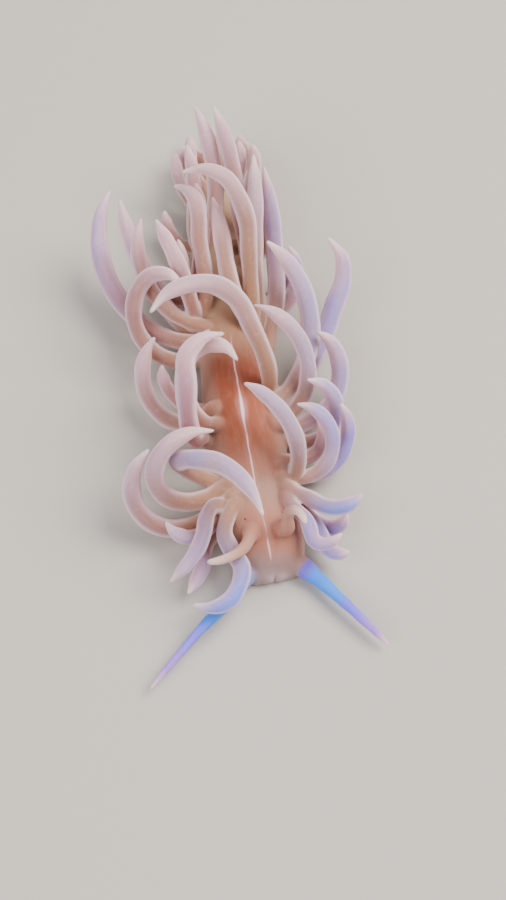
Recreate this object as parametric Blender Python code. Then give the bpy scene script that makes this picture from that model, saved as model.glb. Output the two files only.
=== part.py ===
"""A life-size still model of the aeolid sea slug Phyllodesmium opalescens, crawling on a flat floor.

The slug faces -Y, rests with its sole on Z = 0 and has the middle of its body over the origin.
+X is its left side. Sizes are in millimetres, and the meshes are made in metres.
A place on the body is a station, in millimetres behind the front of the head.
A place off the body is (out, back, up): out from the midline, back from the root and up from the floor.
"""
import math

import bmesh
import bpy
import numpy as np

# Driving sizes in millimetres
MM = 0.001
BODY_LENGTH = 39.0
HEAD_X = 3.1
TAIL_X = -1.4
BODY_SWAY = 1.0
SLOPE_REACH = 0.5
CUT_GAP = 0.3
CLEARANCE = 0.3

# Body outline: station, half width, height
BODY_OUTLINE = (
    (0.0, 1.3, 0.9), (0.3, 1.75, 1.5), (0.8, 2.1, 2.0), (1.6, 2.4, 2.45), (3.0, 2.5, 2.8),
    (6.0, 2.35, 3.1), (9.0, 2.6, 4.0), (12.0, 2.75, 4.4), (15.5, 2.5, 4.1), (21.0, 2.15, 3.5),
    (27.0, 1.75, 2.8), (32.0, 1.3, 2.0), (36.0, 0.85, 1.3), (38.2, 0.45, 0.75), (39.0, 0.15, 0.35),
)
WIDEST_HEIGHT = 0.5

# Foot: its edge stands out past this share of the half width, and is thinner where the body is low
FOOT_WIDTH_SHARE = 0.9
FOOT_MARGIN = 0.25
FOOT_THICKNESS = 0.5
THIN_FOOT_SHARE = 0.22
THIN_FOOT_LEAST = 0.1
ABOVE_FOOT_SHARE = 0.95

# Body lengths: node name, first station, last station
BODY_LENGTHS = (
    ("head", 0.0, 3.7),
    ("neck", 3.7, 8.6),
    ("heart_region", 8.6, 15.6),
    ("mid_body", 15.6, 22.6),
    ("rear_body", 22.6, 29.4),
    ("tail", 29.4, 39.0),
)

# Cerata: side (-1 right, 1 left), first root station, spacing, and each one's bends as (out, back, up)
CERATA_CLUSTERS = (
    ("front_right", -1, 4.6, 0.42, (
        ((3.9, -0.9, 1.5), (5.0, -3.6, 1.6), (6.1, -5.1, 1.4)),
        ((3.0, -1.6, 3.2), (2.4, -5.4, 3.1), (3.7, -7.1, 2.9), (6.0, -6.8, 2.6)),
        ((3.4, -1.4, 2.7), (4.7, -3.9, 3.0), (7.2, -5.4, 2.6)),
        ((5.1, -2.5, 2.4), (6.7, -1.5, 3.2)),
        ((8.5, -0.3, 3.6), (6.9, 2.2, 6.0)),
        ((6.9, -0.1, 5.4), (2.5, 1.5, 7.4)),
        ((5.3, 0.4, 5.6), (2.1, -2.2, 7.8), (0.5, -5.9, 7.4)),
    )),
    ("front_left", 1, 4.6, 0.42, (
        ((3.2, -1.4, 1.5), (4.2, -3.9, 1.6), (5.2, -4.5, 2.6)),
        ((2.8, -1.8, 3.1), (3.6, -4.4, 3.4), (4.8, -4.2, 4.2)),
        ((4.2, -2.9, 1.8), (5.6, -2.5, 2.8)),
        ((4.6, -3.1, 3.6), (6.7, -2.5, 4.4)),
        ((2.8, 1.9, 6.2), (-0.1, 5.0, 8.0)),
        ((5.4, 1.9, 4.4), (3.3, 3.2, 6.4)),
        ((6.6, 2.1, 3.0), (6.2, 3.8, 4.8)),
        ((5.1, 1.2, 1.8), (5.1, 2.8, 3.2)),
    )),
    ("heart_right", -1, 10.2, 0.6, (
        ((3.6, 4.0, 5.0), (1.5, 6.2, 7.2)),
        ((4.0, 0.8, 7.0), (2.8, 3.4, 8.2), (0.2, 1.7, 8.6)),
        ((4.0, -1.1, 8.6), (3.1, 2.0, 9.8), (0.8, 2.7, 9.6)),
        ((6.2, 4.7, 3.6), (5.3, 5.7, 5.2)),
        ((5.3, 2.1, 2.2), (5.2, 4.0, 3.2)),
    )),
    ("heart_left", 1, 9.6, 0.7, (
        ((6.1, 1.7, 4.2), (4.3, 2.3, 6.2)),
        ((7.1, 4.2, 3.0), (5.4, 5.9, 5.2)),
        ((4.7, 2.7, 6.0), (1.5, 6.2, 8.2)),
        ((5.7, 5.5, 4.4), (3.3, 11.1, 7.8)),
        ((8.0, 7.4, 3.2), (9.0, 9.8, 4.6), (8.0, 11.3, 6.0)),
        ((1.6, 1.2, 7.4), (-1.2, 5.1, 9.8), (-5.7, 3.6, 9.4)),
    )),
    ("mid_right", -1, 17.0, 0.7, (
        ((6.5, 3.6, 4.6), (5.0, 5.0, 6.4), (2.9, 3.1, 7.0)),
        ((8.5, 7.0, 3.6), (8.6, 9.4, 5.2), (7.4, 12.2, 6.4)),
        ((6.1, 6.3, 5.0), (6.9, 10.1, 7.0)),
        ((5.9, 5.8, 6.4), (5.5, 6.8, 7.8)),
        ((3.8, 3.5, 7.6), (4.6, 5.1, 8.8)),
        ((1.4, 3.2, 6.6), (1.6, 6.4, 8.4), (3.0, 7.9, 7.8)),
        ((2.8, 1.4, 6.2), (3.4, 2.6, 7.4)),
        ((4.0, 1.2, 1.6), (5.2, 2.8, 2.2)),
    )),
    ("mid_left", 1, 17.0, 0.8, (
        ((3.6, 9.0, 4.4), (3.9, 13.5, 6.6)),
        ((0.1, 5.0, 6.2), (-0.5, 9.4, 7.8)),
        ((3.2, 8.3, 5.4), (3.2, 12.3, 7.6)),
        ((1.6, 2.6, 6.0), (1.6, 5.4, 8.8), (0.5, 7.7, 10.0), (-2.4, 8.9, 9.4)),
        ((4.0, 2.8, 3.0), (3.7, 4.4, 4.4)),
        ((3.9, 1.4, 1.8), (4.9, 3.4, 2.8)),
    )),
    ("rear_right", -1, 24.0, 0.9, (
        ((1.4, 1.5, 6.0), (1.9, 4.2, 8.2)),
        ((1.3, 6.5, 5.0), (2.0, 7.9, 7.0)),
        ((0.2, 7.0, 6.0), (1.3, 10.1, 7.6)),
        ((3.2, 1.6, 1.8), (4.0, 3.4, 2.8)),
    )),
    ("rear_left", 1, 24.0, 0.9, (
        ((1.2, 7.2, 6.2), (0.2, 11.5, 8.0)),
        ((3.4, 3.6, 2.6), (3.6, 5.8, 3.8)),
        ((2.2, 2.4, 4.0), (2.4, 5.0, 5.8)),
        ((3.0, 1.4, 1.7), (4.0, 3.2, 2.6)),
    )),
    ("tail_right", -1, 31.0, 1.6, (
        ((2.8, 2.0, 2.6), (3.0, 3.8, 3.6)),
        ((1.8, 2.4, 2.2), (1.8, 3.8, 3.2)),
        ((1.9, 1.2, 1.3), (2.3, 2.6, 1.9)),
        ((1.6, 1.1, 1.0), (1.9, 2.3, 1.5)),
    )),
    ("tail_left", 1, 31.0, 1.6, (
        ((2.8, 2.2, 2.8), (2.8, 4.2, 3.8)),
        ((1.8, 2.2, 2.0), (1.8, 3.6, 3.0)),
        ((1.9, 1.3, 1.4), (2.2, 2.8, 2.0)),
        ((1.6, 1.1, 1.0), (1.9, 2.3, 1.5)),
    )),
)
ROOT_ANGLES = (8.0, 42.0)
ROOT_DEPTH = 1.0
GIRTH_AT_ZERO = 0.43
GIRTH_PER_LENGTH = 0.018
# Share of the length, share of the girth
CERAS_TAPER = ((0.0, 0.84), (0.2, 0.92), (0.5, 1.0), (0.76, 0.92), (0.9, 0.66), (1.0, 0.3))
RINGS = 9
ROUTE_STEPS = 24

# Head feelers: root station, root angle up the side, turn forward, root radius, tip radius
ORAL_TENTACLE = (0.5, 0.0, 52.0, 0.52, 0.2)
RHINOPHORE = (2.8, 66.0, 34.0, 0.5, 0.24)
# Each feeler's side, sizes, and what it bends through as (out, back, up) from its station
FEELERS = {
    "oral_tentacle_right": (-1, ORAL_TENTACLE, ((5.8, -3.5, 1.0), (9.7, -6.9, 0.8))),
    "oral_tentacle_left": (1, ORAL_TENTACLE, ((4.4, -3.6, 1.0), (6.5, -6.9, 0.8))),
    "rhinophore_right": (-1, RHINOPHORE, ((2.1, -1.9, 4.0), (4.6, -2.3, 3.9))),
    "rhinophore_left": (1, RHINOPHORE, ((1.5, 0.0, 4.6), (2.3, -1.7, 5.6))),
}
FEELER_GAP = 0.42

# How the cerata are eased apart until they are clear of one another, of the body and of the floor
EASE_ROUNDS = 200
EASE_SHARE = 0.5
EASE_MARGIN = 0.12
EVENING_SHARE = 0.2
WATCH_DISTANCE = 2.5
SUB_STEPS = 4
HELD_KNOTS = 2
ROOT_ZONE = 0.24
BODY_ZONE = 0.14
DEEPEST_SHARE = 0.2
FLOOR_CLEARANCE = 0.2

# Head front: half extents of the lips, the mouth's slit between them and the corners of the foot
LIP_STATION = 0.25
LIP_OUT = 0.42
LIP_HEIGHT = 0.66
LIP_SIZE = (0.55, 0.45, 0.5)
MOUTH_STATION = -0.25
MOUTH_SIZE = (0.1, 0.45, 0.36)
FOOT_CORNER_STATION = 0.8
FOOT_CORNER_OUT = 2.1
FOOT_CORNER_SIZE = (0.8, 0.55, 0.3)

# Fineness of the meshes
RING_STEP = 1.3
NOSE_STATIONS = (0.3, 0.7)
SIDE_ANGLES = (0, 24, 48, 70, 90)
TUBE_RESOLUTION = 1
LUMP_SEGMENTS = 10
LUMP_RINGS = 6
JOIN_DISTANCE = 0.001
SLIVER = 0.001


def through_table(table, at):
    """The table's columns at a place, on a smooth cubic through its rows."""
    rows = np.array(table, float)
    place, columns = rows[:, 0], rows[:, 1:]
    slope = np.gradient(columns, place, axis=0)
    at = np.clip(at, place[0], place[-1])
    i = np.clip(np.searchsorted(place, at, side="right") - 1, 0, len(place) - 2)
    step = place[i + 1] - place[i]
    t = ((at - place[i]) / step)[..., None]
    step = step[..., None]
    return ((2 * t**3 - 3 * t**2 + 1) * columns[i] + (t**3 - 2 * t**2 + t) * step * slope[i]
            + (3 * t**2 - 2 * t**3) * columns[i + 1] + (t**3 - t**2) * step * slope[i + 1])


def midline_x(station):
    """The body's gentle lean and sway across the floor."""
    share = station / BODY_LENGTH
    return HEAD_X + (TAIL_X - HEAD_X) * share - BODY_SWAY * np.sin(math.pi * share)


def body_axes(station):
    """The midline's point on the floor, and the unit vectors back and left there."""
    slope = (midline_x(station + SLOPE_REACH) - midline_x(station - SLOPE_REACH)) / (2 * SLOPE_REACH)
    back = np.array([slope, 1.0, 0.0]) / math.hypot(slope, 1.0)
    left = np.array([back[1], -back[0], 0.0])
    return np.array([midline_x(station), station - BODY_LENGTH / 2, 0.0]), back, left


def body_surface(station, side, angle):
    """The surface point at an angle above the widest line of one side, and the normal there."""
    half_width, height = through_table(BODY_OUTLINE, np.float64(station))
    point, _, left = body_axes(station)
    turn = math.radians(angle)
    waist = WIDEST_HEIGHT * height
    rise = height - waist
    point = point + left * side * half_width * math.cos(turn)
    point[2] = waist + rise * math.sin(turn)
    normal = left * side * math.cos(turn) / half_width + np.array([0, 0, math.sin(turn) / rise])
    return point, normal / np.linalg.norm(normal)


def arc_halves(start, middle, end, share):
    """Points a share of the way along each half of the circle's arc through three points."""
    u, v = middle - start, end - start
    axis = np.cross(u, v)
    centre = start + (np.cross(axis, u) * (v @ v) + np.cross(v, axis) * (u @ u)) / (2 * (axis @ axis))
    axis /= np.linalg.norm(axis)
    spoke = start - centre
    across = np.cross(axis, spoke)

    def turn_to(point):
        return math.atan2((point - centre) @ across, (point - centre) @ spoke) % (2 * math.pi)

    def at(turn):
        return centre + np.cos(turn)[:, None] * spoke + np.sin(turn)[:, None] * across

    half, whole = turn_to(middle), turn_to(end)
    return at(half * share), at(half + (whole - half) * share)


def round_route(points, count):
    """Evenly spaced points on a smooth line of blended arcs through the given points."""
    share = np.linspace(0, 1, ROUTE_STEPS, endpoint=False)
    arcs = [arc_halves(*points[i:i + 3], share) for i in range(len(points) - 2)]
    blend = (np.sin(share * math.pi / 2) ** 2)[:, None]
    pieces = [arcs[0][0]]
    for before, after in zip(arcs, arcs[1:]):
        pieces.append(before[1] * (1 - blend) + after[0] * blend)
    pieces += [arcs[-1][1], points[-1][None]]
    dense = np.vstack(pieces)
    along = np.concatenate([[0], np.cumsum(np.linalg.norm(np.diff(dense, axis=0), axis=1))])
    even = np.linspace(0, along[-1], count)
    return np.stack([np.interp(even, along, dense[:, c]) for c in range(3)], 1)


def ceras_lines():
    """Every ceras as its cluster, root station, centreline and radii, before they are eased apart."""
    lines = []
    for cluster, side, first, spacing, postures in CERATA_CLUSTERS:
        for i, posture in enumerate(postures):
            station = first + spacing * i
            root, normal = body_surface(station, side, ROOT_ANGLES[i % 2])
            floor, back, left = body_axes(station)
            up = np.array([0, 0, 1.0])
            reached = [floor + left * side * p[0] + back * p[1] + up * p[2] for p in posture]
            line = round_route([root] + reached, RINGS)
            length = np.linalg.norm(np.diff(line, axis=0), axis=1).sum()
            girth = GIRTH_AT_ZERO + GIRTH_PER_LENGTH * length
            radii = girth * through_table(CERAS_TAPER, np.linspace(0, 1, RINGS))[:, 0]
            line = np.vstack([root - normal * ROOT_DEPTH, line])
            radii = np.concatenate([radii[:1], radii])
            lines.append((cluster, station, line, radii))
    return lines


def feeler_lines():
    """The four head feelers as name, station, centreline and radii, each starting just off the head."""
    lines = []
    for name, (side, sizes, posture) in FEELERS.items():
        station, angle, forward, root_radius, tip_radius = sizes
        root, normal = body_surface(station, side, angle)
        floor, back, left = body_axes(station)
        turn = math.radians(forward)
        normal = normal * math.cos(turn) - back * math.sin(turn)
        start = root + normal * FEELER_GAP
        up = np.array([0, 0, 1.0])
        reached = [floor + left * side * p[0] + back * p[1] + up * p[2] for p in posture]
        line = round_route([start, start + normal * root_radius] + reached, RINGS)
        lines.append((name, station, line, np.linspace(root_radius, tip_radius, RINGS)))
    return lines


def body_push(points, reach):
    """How far each point stands too near the body, as a push away from it."""
    station = np.clip(points[:, 1] + BODY_LENGTH / 2, 0, BODY_LENGTH)
    half_width, height = through_table(BODY_OUTLINE, station).T
    waist = WIDEST_HEIGHT * height
    across = points[:, 0] - midline_x(station)
    above = np.maximum(points[:, 2] - waist, 0)
    size = np.hypot(across / half_width, above / (height - waist))
    outward = np.stack([across, np.zeros_like(across), above], 1)
    radius = np.maximum(np.linalg.norm(outward, axis=1), JOIN_DISTANCE)
    distance = radius * (1 - 1 / np.maximum(size, DEEPEST_SHARE))
    return outward / radius[:, None] * np.maximum(reach - distance, 0)[:, None]


def ease_apart(lines, still):
    """Moves the centrelines until all of them keep their clearance, with the roots held."""
    count = len(lines)
    tubes = lines + still
    knots = RINGS + 1
    place = np.linspace(0, knots - 1, (knots - 1) * SUB_STEPS + 1)
    low = np.minimum(place.astype(int), knots - 2)
    weights = np.zeros((len(place), knots))
    weights[np.arange(len(place)), low] = 1 - (place - low)
    weights[np.arange(len(place)), low + 1] += place - low
    line = np.stack([np.vstack([points[:knots - len(points)], points]) for _, _, points, _ in tubes])
    radii = np.stack([np.concatenate([girths[:knots - len(girths)], girths]) for _, _, _, girths in tubes])
    first = line.copy()
    reach = radii @ weights.T
    share = (place - 1) / (knots - 2)
    rooted = np.tile(share < ROOT_ZONE, (len(tubes), 1)).ravel()
    at_body = np.tile(share < BODY_ZONE, (len(tubes), 1)).ravel()
    owner = np.repeat(np.arange(len(tubes)), len(place))
    names = [tube[0] for tube in tubes]
    cluster = np.array([names.index(name) for name in names])[owner]
    spots = (weights @ line).reshape(-1, 3)
    spread = reach.ravel()
    one, other = np.triu_indices(len(spots), 1)
    near = np.linalg.norm(spots[one] - spots[other], axis=1) < spread[one] + spread[other] + WATCH_DISTANCE
    apart = owner[one] != owner[other]
    fused = rooted[one] & rooted[other] & (cluster[one] == cluster[other])
    one, other = one[near & apart & ~fused], other[near & apart & ~fused]
    need = spread[one] + spread[other] + CLEARANCE + EASE_MARGIN
    hold = np.clip((np.arange(knots) - 1) / HELD_KNOTS, 0, 1)
    mobile = np.zeros((len(tubes), knots, 1))
    mobile[:count] = hold[:, None]
    total = weights.sum(0)[:, None]
    for _ in range(EASE_ROUNDS):
        spots = (weights @ line).reshape(-1, 3)
        step = spots[one] - spots[other]
        distance = np.maximum(np.linalg.norm(step, axis=1), JOIN_DISTANCE)
        close = distance < need
        push = (step / distance[:, None] * (need - distance)[:, None])[close] * EASE_SHARE
        force = np.zeros_like(spots)
        np.add.at(force, one[close], push)
        np.add.at(force, other[close], -push)
        hits = np.zeros(len(spots))
        np.add.at(hits, one[close], 1)
        np.add.at(hits, other[close], 1)
        force /= np.sqrt(np.maximum(hits, 1))[:, None]
        force += np.where(at_body[:, None], 0, body_push(spots, spread + CLEARANCE + EASE_MARGIN))
        force[:, 2] += np.maximum(spread + FLOOR_CLEARANCE - spots[:, 2], 0)
        force = force.reshape(len(tubes), len(place), 3)
        line += mobile * (np.einsum("pk,tpc->tkc", weights, force) / total)
        moved = line - first
        smooth = moved.copy()
        smooth[:, 1:-1] += EVENING_SHARE * (moved[:, :-2] - 2 * moved[:, 1:-1] + moved[:, 2:])
        line = first + np.where(mobile > 0, smooth, 0)
    return [(tube[0], tube[1], line[i], tube[3]) for i, tube in enumerate(lines)]


def mesh_object(name, mesh):
    """A new object in the slug's collection."""
    thing = bpy.data.objects.new(name, mesh)
    slug_collection().objects.link(thing)
    return thing


def slug_collection():
    """The collection that holds the finished nodes."""
    name = "Phyllodesmium_opalescens"
    if name not in bpy.data.collections:
        bpy.context.scene.collection.children.link(bpy.data.collections.new(name))
    return bpy.data.collections[name]


def body_ring(station):
    """One cross-section of the body: flat sole, foot margin, rounded sides and back."""
    half_width, height = through_table(BODY_OUTLINE, np.float64(station))
    waist = WIDEST_HEIGHT * height
    edge = min(FOOT_THICKNESS, THIN_FOOT_SHARE * height + THIN_FOOT_LEAST)
    foot = FOOT_WIDTH_SHARE * half_width + FOOT_MARGIN
    half = [(foot, 0.0), (foot, edge), (ABOVE_FOOT_SHARE * half_width, (edge + waist) / 2)]
    for angle in SIDE_ANGLES:
        turn = math.radians(angle)
        half.append((half_width * math.cos(turn), waist + (height - waist) * math.sin(turn)))
    outline = half + [(-out, up) for out, up in reversed(half[:-1])]
    point, _, left = body_axes(station)
    return [point + left * out + np.array([0, 0, up]) for out, up in outline]


def body_length(name, first, last):
    """A length of the body lofted along the midline, with a closed face at each end."""
    start = first + (CUT_GAP / 2 if first > 0 else 0)
    end = last - (CUT_GAP / 2 if last < BODY_LENGTH else 0)
    stations = list(np.linspace(start, end, max(2, round((end - start) / RING_STEP) + 1)))
    if first == 0:
        stations[1:1] = NOSE_STATIONS
    shape = bmesh.new()
    rings = [[shape.verts.new(point * MM) for point in body_ring(station)] for station in stations]
    for ring, following in zip(rings, rings[1:]):
        for i in range(len(ring)):
            j = (i + 1) % len(ring)
            shape.faces.new((ring[i], ring[j], following[j], following[i]))
    shape.faces.new(rings[0])
    shape.faces.new(rings[-1])
    bmesh.ops.recalc_face_normals(shape, faces=shape.faces)
    mesh = bpy.data.meshes.new(name)
    shape.to_mesh(mesh)
    shape.free()
    return mesh_object(name, mesh)


def tube(name, line, radii):
    """A tapered tube along a centreline, as a closed mesh."""
    curve = bpy.data.curves.new(name, "CURVE")
    curve.dimensions = "3D"
    curve.bevel_depth = MM
    curve.bevel_resolution = TUBE_RESOLUTION
    curve.use_fill_caps = True
    spline = curve.splines.new("POLY")
    spline.points.add(len(line) - 1)
    for point, place, radius in zip(spline.points, line, radii):
        point.co = (*(place * MM), 1)
        point.radius = radius
    guide = bpy.data.objects.new(name + "_guide", curve)
    bpy.context.scene.collection.objects.link(guide)
    bpy.context.view_layer.update()
    graph = bpy.context.evaluated_depsgraph_get()
    mesh = bpy.data.meshes.new_from_object(guide.evaluated_get(graph))
    bpy.data.objects.remove(guide)
    bpy.data.curves.remove(curve)
    shape = bmesh.new()
    shape.from_mesh(mesh)
    bmesh.ops.remove_doubles(shape, verts=shape.verts, dist=JOIN_DISTANCE * MM)
    bmesh.ops.recalc_face_normals(shape, faces=shape.faces)
    shape.to_mesh(mesh)
    shape.free()
    return mesh_object(name, mesh)


def rounded_lump(name, station, out, height, size):
    """A small ellipsoid, its size given as half extents."""
    floor, _, left = body_axes(station)
    bpy.ops.mesh.primitive_uv_sphere_add(segments=LUMP_SEGMENTS, ring_count=LUMP_RINGS, radius=MM)
    lump = bpy.context.object
    lump.name = name
    lump.scale = size
    lump.location = (floor + left * out + np.array([0, 0, height])) * MM
    bpy.ops.object.transform_apply(location=True, rotation=True, scale=True)
    return lump


def largest_surface(mesh):
    """Keeps only the mesh's largest closed surface."""
    shape = bmesh.new()
    shape.from_mesh(mesh)
    left = set(shape.verts)
    surfaces = []
    while left:
        stack = [left.pop()]
        surface = set(stack)
        while stack:
            for edge in stack.pop().link_edges:
                for vert in edge.verts:
                    if vert not in surface:
                        surface.add(vert)
                        stack.append(vert)
        left -= surface
        surfaces.append(surface)
    surfaces.sort(key=len)
    for surface in surfaces[:-1]:
        bmesh.ops.delete(shape, geom=list(surface), context="VERTS")
    bmesh.ops.triangulate(shape, faces=shape.faces)
    bmesh.ops.dissolve_degenerate(shape, edges=shape.edges, dist=SLIVER * MM)
    bmesh.ops.triangulate(shape, faces=shape.faces)
    shape.to_mesh(mesh)
    shape.free()


def combine(base, pieces, operation):
    """Joins pieces to a node, or cuts them out of it, by one Boolean on their collection."""
    group = bpy.data.collections.new(base.name + "_pieces")
    bpy.context.scene.collection.children.link(group)
    for piece in pieces:
        for holder in list(piece.users_collection):
            holder.objects.unlink(piece)
        group.objects.link(piece)
    boolean = base.modifiers.new("combine", "BOOLEAN")
    boolean.operation = operation
    boolean.operand_type = "COLLECTION"
    boolean.collection = group
    boolean.solver = "MANIFOLD"
    bpy.context.view_layer.update()
    graph = bpy.context.evaluated_depsgraph_get()
    mesh = bpy.data.meshes.new_from_object(base.evaluated_get(graph))
    base.modifiers.clear()
    largest_surface(mesh)
    base.data = mesh
    for piece in pieces:
        bpy.data.objects.remove(piece)
    bpy.data.collections.remove(group)


def head_front():
    """Lips and the corners of the foot."""
    lumps = []
    for side in (-1, 1):
        lumps.append(rounded_lump("lip", LIP_STATION, side * LIP_OUT, LIP_HEIGHT, LIP_SIZE))
        lumps.append(rounded_lump("foot_corner", FOOT_CORNER_STATION, side * FOOT_CORNER_OUT,
                                  FOOT_CORNER_SIZE[2], FOOT_CORNER_SIZE))
    return lumps


def mouth():
    """What the slit between the lips is cut with."""
    return rounded_lump("mouth", MOUTH_STATION, 0, LIP_HEIGHT, MOUTH_SIZE)


def flesh(name, colour, roughness):
    """A soft, wet skin material."""
    material = bpy.data.materials.new(name)
    material.use_nodes = True
    shader = material.node_tree.nodes["Principled BSDF"]
    shader.inputs["Base Color"].default_value = (*colour, 1)
    shader.inputs["Roughness"].default_value = roughness
    shader.inputs["Metallic"].default_value = 0.0
    return material


SKINS = {
    "head": ((0.62, 0.36, 0.29), 0.35),
    "neck": ((0.66, 0.42, 0.36), 0.35),
    "heart_region": ((0.68, 0.36, 0.26), 0.35),
    "mid_body": ((0.66, 0.44, 0.38), 0.35),
    "rear_body": ((0.68, 0.48, 0.42), 0.35),
    "tail": ((0.7, 0.52, 0.48), 0.35),
    "oral_tentacle_right": ((0.4, 0.5, 0.86), 0.3),
    "oral_tentacle_left": ((0.4, 0.5, 0.86), 0.3),
    "rhinophore_right": ((0.78, 0.66, 0.58), 0.35),
    "rhinophore_left": ((0.78, 0.66, 0.58), 0.35),
}


def build():
    """Makes every node of the slug."""
    for thing in list(bpy.data.objects):
        bpy.data.objects.remove(thing)
    feelers = feeler_lines()
    cerata = ease_apart(ceras_lines(), feelers)
    for name, first, last in BODY_LENGTHS:
        node = body_length(name, first, last)
        pieces = [tube(cluster, line, radii) for cluster, station, line, radii in cerata
                  if first < station < last]
        if name == "head":
            pieces += head_front()
        combine(node, pieces, "UNION")
        if name == "head":
            combine(node, [mouth()], "DIFFERENCE")
    for name, _, line, radii in feelers:
        tube(name, line, radii)
    for node in slug_collection().objects:
        node.data.materials.clear()
        node.data.materials.append(flesh(node.name + "_skin", *SKINS[node.name]))
        node.data.shade_smooth()


build()
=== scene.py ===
"""Looks of the life-size sea slug Phyllodesmium opalescens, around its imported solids.

One seamless skin replaces all the solids. Its shape is worked out in millimetres from the part's own sizes.
A place on the body is a station, in millimetres behind the front of the head.
"""
import math

import bpy
import numpy as np
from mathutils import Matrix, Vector, kdtree


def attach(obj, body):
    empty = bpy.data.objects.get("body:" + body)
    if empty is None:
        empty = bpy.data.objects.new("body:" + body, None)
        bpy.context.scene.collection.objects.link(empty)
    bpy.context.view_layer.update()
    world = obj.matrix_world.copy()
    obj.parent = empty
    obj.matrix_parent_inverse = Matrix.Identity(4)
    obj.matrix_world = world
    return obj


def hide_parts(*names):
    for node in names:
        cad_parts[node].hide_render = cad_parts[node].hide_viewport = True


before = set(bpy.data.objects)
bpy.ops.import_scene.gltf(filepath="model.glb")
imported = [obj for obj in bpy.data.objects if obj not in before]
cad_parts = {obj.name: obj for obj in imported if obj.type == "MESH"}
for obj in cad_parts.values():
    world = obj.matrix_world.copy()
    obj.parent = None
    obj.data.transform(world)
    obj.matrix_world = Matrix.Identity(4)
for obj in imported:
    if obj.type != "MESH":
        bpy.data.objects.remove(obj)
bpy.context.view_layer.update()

# Driving sizes in millimetres
MM = 0.001
BODY_LENGTH = 39.0
HEAD_X = 3.1
TAIL_X = -1.4
BODY_SWAY = 1.0
SLOPE_REACH = 0.5
CLEARANCE = 0.3

# Body outline: station, half width, height
BODY_OUTLINE = (
    (0.0, 1.3, 0.9), (0.3, 1.75, 1.5), (0.8, 2.1, 2.0), (1.6, 2.4, 2.45), (3.0, 2.5, 2.8),
    (6.0, 2.35, 3.1), (9.0, 2.6, 4.0), (12.0, 2.75, 4.4), (15.5, 2.5, 4.1), (21.0, 2.15, 3.5),
    (27.0, 1.75, 2.8), (32.0, 1.3, 2.0), (36.0, 0.85, 1.3), (38.2, 0.45, 0.75), (39.0, 0.15, 0.35),
)
WIDEST_HEIGHT = 0.5

# Foot: its edge stands out past this share of the half width, and is thinner where the body is low
FOOT_WIDTH_SHARE = 0.9
FOOT_MARGIN = 0.25
FOOT_THICKNESS = 0.5
THIN_FOOT_SHARE = 0.22
THIN_FOOT_LEAST = 0.1
ABOVE_FOOT_SHARE = 0.95
# How far the sole and the edge's top lie in from the foot's widest line, and how high the line and the
# top are, as shares of the foot's thickness
SOLE_INSET = 0.08
EDGE_INSET = 0.1
EDGE_LOW = 0.4
EDGE_HIGH = 0.9

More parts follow.
